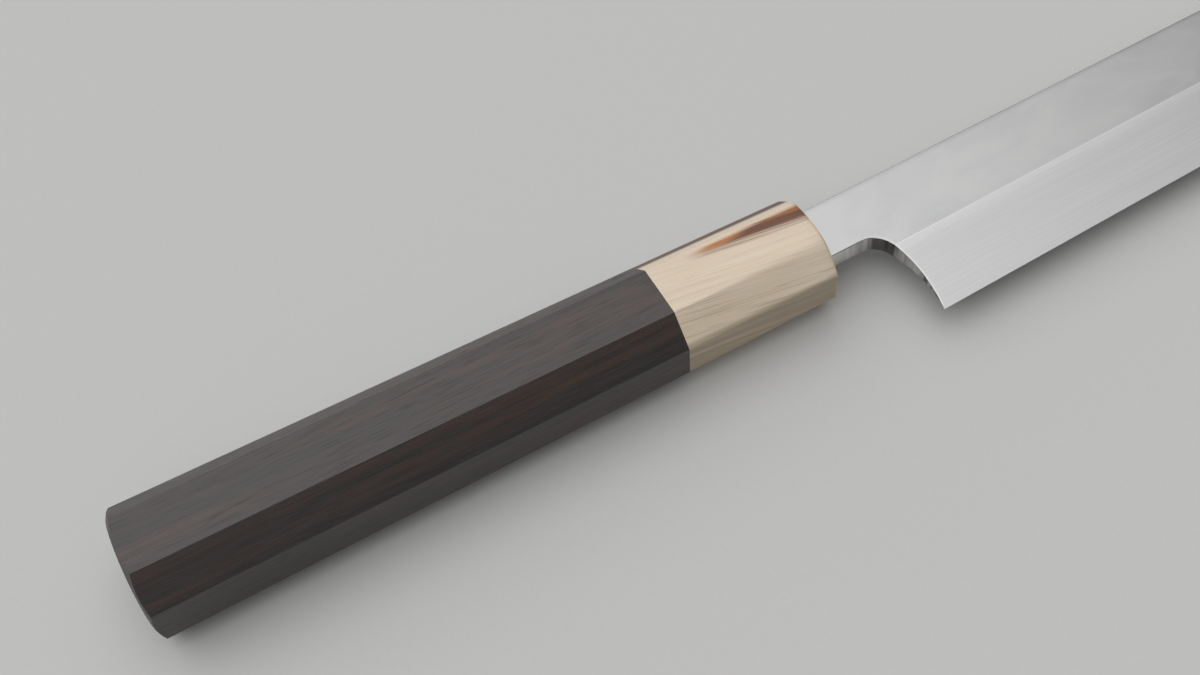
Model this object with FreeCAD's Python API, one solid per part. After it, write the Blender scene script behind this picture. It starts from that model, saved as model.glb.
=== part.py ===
import FreeCAD, Part
import math
import os

# A yanagiba, the long single-bevel slicing knife: a one-piece steel blade whose hidden tang is bedded
# in a wooden dowel, which joins a horn ferrule to an ebony handle of tapered octagonal section.
# It is drawn about the handle's axis, in millimetres: x is 0 at the ferrule's mouth and grows towards
# the tip, y grows from the cutting edge to the spine, z from the hollow back to the bevelled face.
# At the end the knife is laid on the handle's lower flat, with its origin in the middle of its footprint.

# Handle and ferrule: one octagon that tapers from the butt to the mouth
WOOD_LENGTH = 113.1
FERRULE_LENGTH = 35.3
BUTT_HEIGHT = 25.5
BUTT_THICKNESS = 22.6
BUTT_FACET = 6.4  # leg of the 45 degree facets
MOUTH_HEIGHT = 22.6
MOUTH_THICKNESS = 18.8
MOUTH_FACET = 5.6
EASING_INSET = 0.5  # from the flats in to where the rounded-off rim of an end starts
BUTT_EASING = 30.0  # degrees between that rim and the end face
MOUTH_EASING = 31.0

# Dowel: joins ferrule and wood, and holds the tang
DOWEL_DIAMETER = 14.0
DOWEL_PAST_TANG = 9.5
MOUTH_WALL = 8.0  # horn between the dowel and the mouth
GLUE_LINE = 0.1
BORE_END_GAP = 0.5

# Neck and tang
NECK_HEIGHT = 13.1
NECK_THICKNESS = 4.15
NECK_LENGTH = 9.3  # mouth to the start of the choil
NECK_SEAT = 3.0  # neck inside the mouth
TANG_LENGTH = 95.0  # from the mouth
TANG_ROOT_HEIGHT = 9.0
TANG_ROOT_THICKNESS = 3.8
TANG_END_HEIGHT = 5.0
TANG_END_THICKNESS = 2.8
BEDDING = 0.35

# Blade, in its own axes: along the spine from the mouth, and up from the handle's axis
BLADE_REACH = 300.0
BLADE_TILT = 1.69  # degrees that the spine rises from the handle's axis
SPINE_UP = 7.5
HEEL_SETBACK = 15.15
HEEL_HEIGHT = 33.9
EDGE_TAPER = 0.53  # degrees that the straight edge closes on the spine
FLAT_HEIGHT = 17.45  # spine to shinogi, the line where the bevel starts, at the heel
SHINOGI_TAPER = 0.5  # degrees
BELLY_START = 140.0  # where edge and shinogi leave their straight lines
SPINE_STRAIGHT = 230.0  # where the spine starts to drop to the tip
TIP_DROP = 1.7
TIP_THICKNESS = 1.4
TIP_BEVEL = 4.5  # width of the bevel at the tip
EDGE_LAND = 0.06  # steel left at the cutting edge
THROAT_RADIUS = 5.0  # choil under the neck
THROAT_SWEEP = 70.0  # degrees
ARRIS_RADIUS = 0.35  # eased spine and neck

# Hollow back: ground on a large wheel inside a flat rim
WHEEL_RADIUS = 260.0
RIM_EDGE = 2.2
RIM_SPINE = 1.8
HOLLOW_START = 3.0  # from the heel towards the tip
HOLLOW_ARCH = 22.0  # length over which the hollow opens to its full width
HOLLOW_TIP_GAP = 24.0
HOLLOW_SECTIONS = 13
HOLLOW_FIRST_OPENING = 0.3  # share of the full width where the hollow starts

# How far cutting shapes run past what they cut
OVERRUN = 6.0
BEVEL_OVERCUT = 0.3  # share of the bevel's width
HOLLOW_OVERCUT = 1.0
NEARBY = 0.05  # how close an edge lies to the line that it is picked by

HANDLE_LENGTH = WOOD_LENGTH + FERRULE_LENGTH
DOWEL_END = TANG_LENGTH + DOWEL_PAST_TANG
NECK_DOWN = NECK_HEIGHT - SPINE_UP
TIP_UP = SPINE_UP - TIP_DROP
BACK = -NECK_THICKNESS / 2  # z of the blade's back

Vec = FreeCAD.Vector
ALONG_X = Vec(1, 0, 0)


# Octagonal handle shape

def handle_size(x):
    """Height, thickness and facet leg of the octagon at x."""
    share = -x / HANDLE_LENGTH
    height = MOUTH_HEIGHT + (BUTT_HEIGHT - MOUTH_HEIGHT) * share
    thickness = MOUTH_THICKNESS + (BUTT_THICKNESS - MOUTH_THICKNESS) * share
    facet = MOUTH_FACET + (BUTT_FACET - MOUTH_FACET) * share
    return height, thickness, facet


def flat_face(corners):
    return Part.Face(Part.makePolygon(corners + corners[:1]))


def straight_sided(back, front):
    """The solid between two outlines with as many corners, whose matching sides are parallel."""
    faces = [flat_face(back), flat_face(front)]
    for corner in range(len(back)):
        following = (corner + 1) % len(back)
        faces.append(flat_face([back[corner], back[following], front[following], front[corner]]))
    solid = Part.makeSolid(Part.makeShell(faces))
    if solid.Volume < 0:
        solid.reverse()
    return solid


def octagon(x):
    height, thickness, facet = handle_size(x)
    side, face = height / 2, thickness / 2
    quarter = [(side, face - facet), (side - facet, face)]
    half = quarter + [(-y, z) for y, z in reversed(quarter)]
    whole = half + [(-y, -z) for y, z in half]
    return [Vec(x, y, z) for y, z in whole]


def tapered_octagon(x_back, x_front):
    return straight_sided(octagon(x_back), octagon(x_front))


def end_easing(x_end, outward, angle):
    """The oval ring taken off an end's rim; outward is -1 at the butt and 1 at the mouth."""
    height, thickness, _ = handle_size(x_end)
    land = thickness / 2 - EASING_INSET
    rim = land + thickness
    x_rim = x_end - outward * (rim - land) * math.tan(math.radians(angle))
    x_clear = x_end + outward * OVERRUN
    outline = [(x_end, land), (x_rim, rim), (x_clear, rim), (x_clear, land)]
    face = flat_face([Vec(x, radius, 0) for x, radius in outline])
    oval = FreeCAD.Matrix()
    oval.scale(1, height / thickness, 1)
    return face.revolve(Vec(0, 0, 0), ALONG_X, 360).transformGeometry(oval)


def rod(diameter, x_back, x_front):
    return Part.makeCylinder(diameter / 2, x_front - x_back, Vec(x_back, 0, 0), ALONG_X)


# Blade axes and lines

def on_blade(along, up, z=0.0):
    """A point of the blade's axes, in the handle's."""
    tilt = math.radians(BLADE_TILT)
    x = along * math.cos(tilt) - up * math.sin(tilt)
    y = along * math.sin(tilt) + up * math.cos(tilt)
    return Vec(x, y, z)


def blade_axes(point):
    """Along and up of a point, in the blade's axes."""
    tilt = math.radians(BLADE_TILT)
    along = point.x * math.cos(tilt) + point.y * math.sin(tilt)
    up = point.y * math.cos(tilt) - point.x * math.sin(tilt)
    return along, up


def face_z(x):
    """Height of the blade's upper flat, which thins from the mouth to the tip."""
    return BACK + NECK_THICKNESS - (NECK_THICKNESS - TIP_THICKNESS) * x / BLADE_REACH


def spine_line(along):
    return SPINE_UP


def edge_line(along):
    return SPINE_UP - HEEL_HEIGHT + (along - HEEL_SETBACK) * math.tan(math.radians(EDGE_TAPER))


def shinogi_line(along):
    return SPINE_UP - FLAT_HEIGHT + (along - HEEL_SETBACK) * math.tan(math.radians(SHINOGI_TAPER))


def swept(line, start, up_at_tip, along):
    """Height of a line that leaves its straight at start, as a cubic, to pass the tip at up_at_tip."""
    share = max(0.0, (along - start) / (BLADE_REACH - start))
    return line(along) + (up_at_tip - line(BLADE_REACH)) * share ** 3


def swept_poles(line, start, up_at_tip, end):
    """The four poles of that cubic from start to end."""
    poles = []
    for step in range(3):
        along = start + (end - start) * step / 3
        poles.append((along, line(along)))
    poles.append((end, swept(line, start, up_at_tip, end)))
    return poles


def bezier(points):
    curve = Part.BezierCurve()
    curve.setPoles(points)
    return curve.toShape()


# Tang and the pocket that it is bedded in

def oblong(x, height, thickness):
    y, z = height / 2, thickness / 2
    return [Vec(x, y, z), Vec(x, -y, z), Vec(x, -y, -z), Vec(x, y, -z)]


def tang(grow):
    """The tang, or with grow the pocket around it; its root lies inside the neck."""
    end = oblong(-TANG_LENGTH - grow, TANG_END_HEIGHT + 2 * grow, TANG_END_THICKNESS + 2 * grow)
    root = oblong(-NECK_SEAT / 2, TANG_ROOT_HEIGHT + 2 * grow, TANG_ROOT_THICKNESS + 2 * grow)
    return straight_sided(end, root)


def neck_pocket():
    """The neck's seat in the mouth, with room for the bedding, open to the front."""
    back = -NECK_SEAT - BEDDING
    low, high = -NECK_DOWN - BEDDING, SPINE_UP + BEDDING
    z = BACK - BEDDING
    corners = [(back, low), (OVERRUN, low), (OVERRUN, high), (back, high)]
    face = flat_face([on_blade(along, up, z) for along, up in corners])
    pocket = face.extrude(Vec(0, 0, NECK_THICKNESS + 2 * BEDDING))
    return pocket.common(tapered_octagon(-HANDLE_LENGTH, 0))


def tang_pocket():
    return neck_pocket().fuse(tang(BEDDING)).removeSplitter()


# Blade

def choil():
    """The cut-out under the neck: a tight throat, then a long arc down to the heel."""
    sweep = math.radians(THROAT_SWEEP)
    throat = [(NECK_LENGTH, -NECK_DOWN)]
    for turn in (sweep / 2, sweep):
        along = NECK_LENGTH + THROAT_RADIUS * math.sin(turn)
        up = -NECK_DOWN - THROAT_RADIUS * (1 - math.cos(turn))
        throat.append((along, up))
    heel = (HEEL_SETBACK, edge_line(HEEL_SETBACK))
    start = Vec(*throat[-1], 0)
    chord = Vec(*heel, 0) - start
    leaving = Vec(math.cos(sweep), -math.sin(sweep), 0)
    bulge = leaving - chord * (leaving.dot(chord) / chord.dot(chord))
    sagitta = chord.Length / 2 * math.tan(leaving.getAngle(chord) / 2)
    middle = start + chord / 2 + bulge.normalize() * sagitta
    return throat, (middle.x, middle.y), heel


def blade_blank():
    """The blade's side outline, thicker than the finished blade."""
    throat, middle, heel = choil()

    def place(point):
        return on_blade(*point, BACK)

    def line(start, end):
        return Part.makeLine(place(start), place(end))

    def arc(start, through, end):
        return Part.Arc(place(start), place(through), place(end)).toShape()

    neck_low = (-NECK_SEAT, -NECK_DOWN)
    neck_high = (-NECK_SEAT, SPINE_UP)
    edge_poles = swept_poles(edge_line, BELLY_START, TIP_UP, BLADE_REACH)
    spine_poles = swept_poles(spine_line, SPINE_STRAIGHT, TIP_UP, BLADE_REACH)
    edges = [
        line(neck_high, neck_low),
        line(neck_low, throat[0]),
        arc(*throat),
        arc(throat[-1], middle, heel),
        line(heel, edge_poles[0]),
        bezier([place(pole) for pole in edge_poles]),
        bezier([place(pole) for pole in reversed(spine_poles)]),
        line(spine_poles[0], neck_high),
    ]
    return Part.Face(Part.Wire(edges)).extrude(Vec(0, 0, NECK_THICKNESS + OVERRUN))


def thinning():
    """What the taper takes off above the upper flat."""
    back = -NECK_SEAT - OVERRUN
    end = BLADE_REACH + OVERRUN
    top = face_z(back) + 2 * OVERRUN
    outline = [(back, face_z(back)), (end, face_z(end)), (end, top), (back, top)]
    to_side = Vec(0, BLADE_REACH, 0)
    face = flat_face([Vec(x, 0, z) - to_side for x, z in outline])
    return face.extrude(to_side * 2)


def bevel_cuts():
    """What the bevel takes off: a straight stretch, and one that follows the belly to the tip."""
    end = BLADE_REACH + OVERRUN
    straight = [(along, edge_line(along), shinogi_line(along)) for along in (0, BELLY_START)]
    edge_poles = swept_poles(edge_line, BELLY_START, TIP_UP, end)
    shinogi_poles = swept_poles(shinogi_line, BELLY_START, TIP_UP + TIP_BEVEL, end)
    belly = [(along, low, high) for (along, low), (_, high) in zip(edge_poles, shinogi_poles)]
    cuts = []
    for stretch in (straight, belly):
        lows, highs = [], []
        for along, edge_up, shinogi_up in stretch:
            low = on_blade(along, edge_up, BACK + EDGE_LAND)
            high = on_blade(along, shinogi_up)
            high.z = face_z(high.x)
            past = (high - low) * BEVEL_OVERCUT
            lows.append(low - past)
            highs.append(high + past)
        surface = Part.makeRuledSurface(bezier(lows), bezier(highs))
        cuts.append(surface.extrude(Vec(0, 0, NECK_THICKNESS * 2)))
    return cuts


def hollow_section(along, opening):
    """The wheel's arc across the back at one place, closed below the back."""
    low = swept(edge_line, BELLY_START, TIP_UP, along) + RIM_EDGE
    high = swept(spine_line, SPINE_STRAIGHT, TIP_UP, along) - RIM_SPINE
    middle = (low + high) / 2
    half = (high - low) / 2 * opening
    centre_z = BACK - math.sqrt(WHEEL_RADIUS ** 2 - half ** 2)
    wide = half + HOLLOW_OVERCUT * opening
    wide_z = centre_z + math.sqrt(WHEEL_RADIUS ** 2 - wide ** 2)
    left = on_blade(along, middle - wide, wide_z)
    crown = on_blade(along, middle, centre_z + WHEEL_RADIUS)
    right = on_blade(along, middle + wide, wide_z)
    below = Vec(0, 0, -OVERRUN)
    return Part.Wire([
        Part.Arc(left, crown, right).toShape(),
        Part.makeLine(right, right + below),
        Part.makeLine(right + below, left + below),
        Part.makeLine(left + below, left),
    ])


def hollow():
    """The hollow of the back: it opens in an arch past the heel and narrows towards the tip."""
    start = HEEL_SETBACK + HOLLOW_START
    end = BLADE_REACH - HOLLOW_TIP_GAP
    sections = []
    for step in range(HOLLOW_SECTIONS):
        along = start + (end - start) * step / (HOLLOW_SECTIONS - 1)
        short_of_full = max(0.0, 1 - (along - start) / HOLLOW_ARCH)
        opening = 1 - (1 - HOLLOW_FIRST_OPENING) * short_of_full ** 2
        sections.append(hollow_section(along, opening))
    return Part.makeLoft(sections, True, False)


def eased(blade):
    """The unbevelled blade with its arrises rounded along the spine and, on the upper face, the choil."""
    arrises = []
    for edge in blade.Edges:
        middle = edge.valueAt((edge.FirstParameter + edge.LastParameter) / 2)
        along, up = blade_axes(middle)
        below_spine = swept(spine_line, SPINE_STRAIGHT, TIP_UP, along) - up
        on_spine = below_spine < NEARBY and edge.Length > ARRIS_RADIUS
        on_back = middle.z < BACK + NEARBY
        on_face = middle.z > face_z(middle.x) - NEARBY
        under_neck = along < HEEL_SETBACK and up < NEARBY - NECK_DOWN
        if on_spine and (on_back or on_face) or under_neck and on_face:
            arrises.append(edge)
    return blade.makeFillet(ARRIS_RADIUS, arrises)


def make_blade():
    blade = eased(blade_blank().cut(thinning()))
    for cut in [*bevel_cuts(), hollow()]:
        blade = blade.cut(cut)
    pitch = math.degrees(math.atan2((NECK_THICKNESS - TIP_THICKNESS) / 2, BLADE_REACH))
    blade.rotate(Vec(0, 0, 0), Vec(0, -1, 0), pitch)
    return blade.fuse(tang(0.0)).removeSplitter()


# Handle pieces

def make_handle():
    wood = tapered_octagon(-HANDLE_LENGTH, -FERRULE_LENGTH).cut(end_easing(-HANDLE_LENGTH, -1, BUTT_EASING))
    bore = rod(DOWEL_DIAMETER + 2 * GLUE_LINE, -DOWEL_END - BORE_END_GAP, -FERRULE_LENGTH)
    return wood.cut(bore).cut(tang_pocket())


def make_ferrule():
    horn = tapered_octagon(-FERRULE_LENGTH, 0).cut(end_easing(0, 1, MOUTH_EASING))
    bore = rod(DOWEL_DIAMETER + 2 * GLUE_LINE, -FERRULE_LENGTH, -MOUTH_WALL)
    return horn.cut(bore).cut(tang_pocket())


def make_dowel():
    return rod(DOWEL_DIAMETER, -DOWEL_END, -MOUTH_WALL).cut(tang_pocket())


def make_tang_bedding(blade):
    return tang_pocket().cut(blade)


# Assembly, laid on the handle's lower flat

def laid_down(pieces):
    lean = math.degrees(math.atan2((BUTT_THICKNESS - MOUTH_THICKNESS) / 2, HANDLE_LENGTH))
    heel_of_mouth = Vec(0, 0, -MOUTH_THICKNESS / 2)
    for piece in pieces.values():
        piece.rotate(heel_of_mouth, Vec(0, 1, 0), lean)
        piece.translate(-heel_of_mouth)
    box = Part.makeCompound(list(pieces.values())).optimalBoundingBox(False, False)
    for piece in pieces.values():
        piece.translate(Vec(-box.Center.x, -box.Center.y, 0))
    return pieces


blade_piece = make_blade()
knife = laid_down({
    "blade": blade_piece,
    "ferrule": make_ferrule(),
    "handle": make_handle(),
    "dowel": make_dowel(),
    "tang_bedding": make_tang_bedding(blade_piece),
})
os.makedirs("parts", exist_ok=True)
for name, shape in knife.items():
    print(name, len(shape.Solids), shape.isValid(), round(shape.Volume, 1))
    shape.exportStep("parts/" + name + ".step")
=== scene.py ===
import math

import bpy
from mathutils import Matrix, Vector


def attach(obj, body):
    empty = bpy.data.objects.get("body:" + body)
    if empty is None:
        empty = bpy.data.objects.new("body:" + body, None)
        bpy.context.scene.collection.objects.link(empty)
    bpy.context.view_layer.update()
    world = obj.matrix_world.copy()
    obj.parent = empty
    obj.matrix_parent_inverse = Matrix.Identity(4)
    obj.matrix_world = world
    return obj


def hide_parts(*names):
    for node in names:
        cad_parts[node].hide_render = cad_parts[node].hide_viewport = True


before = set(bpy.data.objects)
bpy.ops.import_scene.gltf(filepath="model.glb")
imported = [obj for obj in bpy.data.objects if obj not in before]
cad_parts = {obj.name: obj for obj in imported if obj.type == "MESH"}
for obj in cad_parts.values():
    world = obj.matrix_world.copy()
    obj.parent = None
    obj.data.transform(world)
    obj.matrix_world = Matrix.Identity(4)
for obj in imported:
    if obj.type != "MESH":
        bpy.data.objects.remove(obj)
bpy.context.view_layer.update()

# Blade
# One piece of hard steel, forged to its outline and ground on one side only: a flat near the spine, a
# wide bevel down to the edge, and a back hollowed on a large wheel. A tapered tang runs on into the handle.
MM = 0.001
MOUTH_X = -75.574 * MM
HANDLE_AXIS_Y = 5.393 * MM
HANDLE_LENGTH = 148.4 * MM
BUTT_THICKNESS = 22.6 * MM
MOUTH_THICKNESS = 18.8 * MM
HANDLE_LEAN = math.atan2((BUTT_THICKNESS - MOUTH_THICKNESS) / 2, HANDLE_LENGTH)
BLADE_TILT = math.radians(1.69)
BLADE_REACH = 300 * MM
NECK_THICKNESS = 4.15 * MM
TIP_THICKNESS = 1.4 * MM
BLADE_PITCH = math.atan2((NECK_THICKNESS - TIP_THICKNESS) / 2, BLADE_REACH)
HANDLE_AXES = (Matrix.Translation((MOUTH_X, HANDLE_AXIS_Y, 0)) @ Matrix.Rotation(HANDLE_LEAN, 4, "Y")
               @ Matrix.Translation((0, 0, MOUTH_THICKNESS / 2)))
BLADE_AXES = (HANDLE_AXES @ Matrix.Rotation(BLADE_PITCH, 4, (0, -1, 0))
              @ Matrix.Rotation(BLADE_TILT, 4, "Z"))

BACK_Z = -NECK_THICKNESS / 2
SPINE_UP = 7.5 * MM
NECK_LOW = -5.6 * MM
NECK_SEAT = -3 * MM
NECK_LENGTH = 9.3 * MM
HEEL_SETBACK = 15.15 * MM
HEEL_HEIGHT = 33.9 * MM
FLAT_HEIGHT = 17.45 * MM
EDGE_SLOPE = math.tan(math.radians(0.53))
SHINOGI_SLOPE = math.tan(math.radians(0.5))
BELLY_START = 140 * MM
SPINE_STRAIGHT = 230 * MM
TIP_DROP = 1.7 * MM
TIP_UP = SPINE_UP - TIP_DROP
TIP_BEVEL = 4.5 * MM
TIP_EASING = 0.25 * MM
EDGE_LAND = 0.06 * MM
THROAT_RADIUS = 5 * MM
THROAT_SWEEP = math.radians(70)
ARRIS_RADIUS = 0.35 * MM
WHEEL_RADIUS = 260 * MM
RIM_EDGE = 2.2 * MM
RIM_SPINE = 1.8 * MM
HOLLOW_PAST_HEEL = 3 * MM
HOLLOW_START = HEEL_SETBACK + HOLLOW_PAST_HEEL
HOLLOW_ARCH = 22 * MM
HOLLOW_FIRST_OPENING = 0.3
HOLLOW_SHORT_OF_TIP = 24 * MM
HOLLOW_END = BLADE_REACH - HOLLOW_SHORT_OF_TIP
TANG_ROOT = (9 * MM, 3.8 * MM)
TANG_END = (5 * MM, 2.8 * MM)
TANG_LENGTH = 95 * MM


def swept(straight_end, up_at_tip, start, along):
    """How far a line has swept off its straight, as a cubic from start to the tip."""
    share = max(0.0, (along - start) / (BLADE_REACH - start))
    return (up_at_tip - straight_end) * share ** 3


def spine_at(along):
    """The spine, straight for most of the blade and then dropping to the tip."""
    return SPINE_UP + swept(SPINE_UP, TIP_UP, SPINE_STRAIGHT, along)


def edge_at(along):
    """The cutting edge, straight from the heel and then swept up to the tip."""
    heel_up = SPINE_UP - HEEL_HEIGHT
    straight_end = heel_up + (BLADE_REACH - HEEL_SETBACK) * EDGE_SLOPE
    return heel_up + (along - HEEL_SETBACK) * EDGE_SLOPE + swept(straight_end, TIP_UP, BELLY_START, along)


def ridge_at(along):
    """Upper end of the bevel's slope, which passes above the spine just before the tip."""
    heel_up = SPINE_UP - FLAT_HEIGHT
    straight_end = heel_up + (BLADE_REACH - HEEL_SETBACK) * SHINOGI_SLOPE
    line = heel_up + (along - HEEL_SETBACK) * SHINOGI_SLOPE
    return line + swept(straight_end, TIP_UP + TIP_BEVEL, BELLY_START, along)


def shinogi_at(along):
    """The ridge between flat and bevel, which ends where it meets the spine."""
    return min(spine_at(along), ridge_at(along))


def flat_z(along, up):
    """Height of the flat, which thins the blade evenly from neck to tip."""
    x = along * math.cos(BLADE_TILT) - up * math.sin(BLADE_TILT)
    return BACK_Z + NECK_THICKNESS - (NECK_THICKNESS - TIP_THICKNESS) * x / BLADE_REACH


def face_z(along, up):
    """Height of the upper face: the flat, or the bevel below the shinogi."""
    ridge, edge = ridge_at(along), edge_at(along)
    if up >= ridge or along < NECK_LENGTH:
        return flat_z(along, up)
    share = (up - edge) / max(ridge - edge, EDGE_LAND)
    edge_z = BACK_Z + EDGE_LAND
    return edge_z + (flat_z(along, ridge) - edge_z) * max(0.0, share)


def hollow_rims(along):
    """The hollow's lower and upper rim on the back."""
    low, high = edge_at(along) + RIM_EDGE, spine_at(along) - RIM_SPINE
    short_of_full = min(1.0, max(0.0, 1 - (along - HOLLOW_START) / HOLLOW_ARCH))
    opening = 1 - (1 - HOLLOW_FIRST_OPENING) * short_of_full ** 2
    middle, half = (low + high) / 2, max(0.0, high - low) / 2 * opening
    return middle - half, middle + half


def back_z(along, up):
    """Height of the back: plane on its rim, and the wheel's arc in the hollow."""
    low, high = hollow_rims(along)
    if not HOLLOW_START <= along <= HOLLOW_END or not low < up < high:
        return BACK_Z
    half, off = (high - low) / 2, up - (low + high) / 2
    return BACK_Z + math.sqrt(WHEEL_RADIUS ** 2 - off ** 2) - math.sqrt(WHEEL_RADIUS ** 2 - half ** 2)


# The choil, from the throat under the neck down to the heel, gives the first points of the blade's rows
NECK_COLUMNS = 6
BLADE_COLUMNS = 84
NECK_ROWS = 9
THROAT_ROWS = 14
BEVEL_ROWS = 18
RIM_ROWS = 2
SHINOGI_SOFTNESS = 0.35 * MM
EVEN_SPACING = 0.15
LEAVING_SHARE = 0.6
LEAVING_STEP = 0.7 * MM
LEAVING_COLUMNS = 6
throat_end = Vector((NECK_LENGTH + THROAT_RADIUS * math.sin(THROAT_SWEEP),
                     NECK_LOW - THROAT_RADIUS * (1 - math.cos(THROAT_SWEEP))))
heel = Vector((HEEL_SETBACK, edge_at(HEEL_SETBACK)))
leaving = Vector((math.cos(THROAT_SWEEP), -math.sin(THROAT_SWEEP)))
heel_radius = (heel - throat_end).length / 2 / math.sin(leaving.angle(heel - throat_end))
heel_centre = throat_end + heel_radius * Vector((leaving.y, -leaving.x))


def choil_along(up):
    """The choil's arc below the throat, as its distance from the mouth."""
    return heel_centre.x + math.sqrt(heel_radius ** 2 - (up - heel_centre.y) ** 2)


first_points = []
leaving_rises = {}
for step in range(NECK_ROWS):
    first_points.append((NECK_LENGTH, SPINE_UP + (NECK_LOW - SPINE_UP) * step / NECK_ROWS))
for step in range(THROAT_ROWS + 1):
    turn = THROAT_SWEEP * step / THROAT_ROWS
    leaving_rises[len(first_points)] = LEAVING_STEP * math.tan((math.pi / 2 - turn) * LEAVING_SHARE)
    first_points.append((NECK_LENGTH + THROAT_RADIUS * math.sin(turn),
                         NECK_LOW - THROAT_RADIUS * (1 - math.cos(turn))))
ridge_up = shinogi_at(choil_along(SPINE_UP - FLAT_HEIGHT))
for up in (ridge_up + SHINOGI_SOFTNESS, ridge_up, ridge_up - SHINOGI_SOFTNESS):
    first_points.append((choil_along(up), up))
for step in range(1, BEVEL_ROWS + 1):
    top = ridge_up - SHINOGI_SOFTNESS
    up = top + (heel.y - top) * step / BEVEL_ROWS
    first_points.append((choil_along(up), up))
BLADE_ROWS = len(first_points) - 1
row_shares = []
for along, up in first_points:
    ridge, spine, edge = shinogi_at(along), spine_at(along), edge_at(along)
    row_shares.append((spine - up) / (spine - ridge) if up >= ridge else 1 + (ridge - up) / (ridge - edge))


def along_row(column, row):
    """Distance from the mouth at a column: the rows leave the choil's curve and soon run level."""
    start = first_points[row][0]
    if column < NECK_COLUMNS:
        return NECK_SEAT + (start - NECK_SEAT) * column / NECK_COLUMNS
    share = (column - NECK_COLUMNS) / (BLADE_COLUMNS - NECK_COLUMNS)
    closer_at_ends = EVEN_SPACING * share + (1 - EVEN_SPACING) * share ** 2 * (3 - 2 * share)
    level = NECK_LENGTH + (BLADE_REACH - TIP_EASING - NECK_LENGTH) * closer_at_ends
    return level + (start - NECK_LENGTH) * (1 - share) ** 4


def leaving_rise(column, row):
    """How far a row that leaves the throat has risen, so that it leaves the curve steeply."""
    settling = max(0, NECK_COLUMNS + 1 + LEAVING_COLUMNS - column) / LEAVING_COLUMNS
    return leaving_rises.get(row, 0) * settling


def face_place(column, row):
    """A point of the upper face: its rows keep their share of the flat or of the bevel."""
    along = along_row(column, row)
    if column <= NECK_COLUMNS:
        up = first_points[row][1]
    elif row_shares[row] <= 1:
        up = spine_at(along) + (shinogi_at(along) - spine_at(along)) * row_shares[row]
        up += leaving_rise(column, row)
    else:
        up = shinogi_at(along) + (edge_at(along) - shinogi_at(along)) * (row_shares[row] - 1)
    return BLADE_AXES @ Vector((along, up, face_z(along, up)))


def back_place(column, row):
    """The back's rows leave the choil and run along the rims of the hollow."""
    along = along_row(column, row)
    if column <= NECK_COLUMNS:
        return BLADE_AXES @ Vector((along, first_points[row][1], BACK_Z))
    low, high = hollow_rims(along)
    spine, edge = spine_at(along), edge_at(along)
    if row <= RIM_ROWS:
        rim_up = spine + (high - spine) * row / RIM_ROWS
    elif row >= BLADE_ROWS - RIM_ROWS:
        rim_up = edge + (low - edge) * (BLADE_ROWS - row) / RIM_ROWS
    else:
        rim_up = high + (low - high) * (row - RIM_ROWS) / (BLADE_ROWS - 2 * RIM_ROWS)
    start_share = (first_points[row][1] - SPINE_UP) / (heel.y - SPINE_UP)
    start_up = spine + (edge - spine) * start_share
    settled = min(1.0, (column - NECK_COLUMNS - 1) / LEAVING_COLUMNS)
    up = start_up + (rim_up - start_up) * settled + leaving_rise(column, row)
    return BLADE_AXES @ Vector((along, up, back_z(along, up)))


def under_neck(column, row):
    """The cells below the neck, where the blade's outline is cut away."""
    return column < NECK_COLUMNS and row >= NECK_ROWS


def placed_grid(columns, rows, place, left_out=None):
    """A grid of cells, without those left out, each of its points put in its place."""
    bpy.ops.object.select_all(action="DESELECT")
    bpy.ops.mesh.primitive_grid_add(x_subdivisions=columns, y_subdivisions=rows, size=1)
    sheet = bpy.context.object
    if left_out:
        for cell in sheet.data.polygons:
            column = math.floor((cell.center.x + 0.5) * columns)
            row = math.floor((0.5 - cell.center.y) * rows)
            cell.select = left_out(column, row)
        bpy.ops.object.mode_set(mode="EDIT")
        bpy.ops.mesh.delete(type="FACE")
        bpy.ops.object.mode_set(mode="OBJECT")
    for point in sheet.data.vertices:
        column = round((point.co.x + 0.5) * columns)
        row = round((0.5 - point.co.y) * rows)
        point.co = place(column, row)
    return sheet


MERGE_WITHIN = 0.002 * MM


def close_mesh():
    """Merges the seams of the active piece and points its faces outwards."""
    bpy.ops.object.mode_set(mode="EDIT")
    bpy.ops.mesh.select_all(action="SELECT")
    bpy.ops.mesh.remove_doubles(threshold=MERGE_WITHIN)
    bpy.ops.mesh.normals_make_consistent(inside=False)
    bpy.ops.object.mode_set(mode="OBJECT")


bpy.context.tool_settings.mesh_select_mode = (False, False, True)
face_sheet = placed_grid(BLADE_COLUMNS, BLADE_ROWS, face_place, under_neck)
back_sheet = placed_grid(BLADE_COLUMNS, BLADE_ROWS, back_place, under_neck)
bpy.ops.object.mode_set(mode="EDIT")
bpy.ops.mesh.select_all(action="SELECT")
bpy.ops.mesh.flip_normals()
bpy.ops.object.mode_set(mode="OBJECT")
sheet_cells = len(back_sheet.data.polygons)
face_sheet.select_set(True)
bpy.context.view_layer.objects.active = face_sheet
bpy.ops.object.join()
blade = face_sheet
blade.name = "blade_steel"
bpy.ops.object.mode_set(mode="EDIT")
bpy.ops.mesh.select_all(action="SELECT")
bpy.ops.mesh.region_to_loop()
bpy.ops.mesh.bridge_edge_loops()
bpy.ops.object.mode_set(mode="OBJECT")

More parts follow.
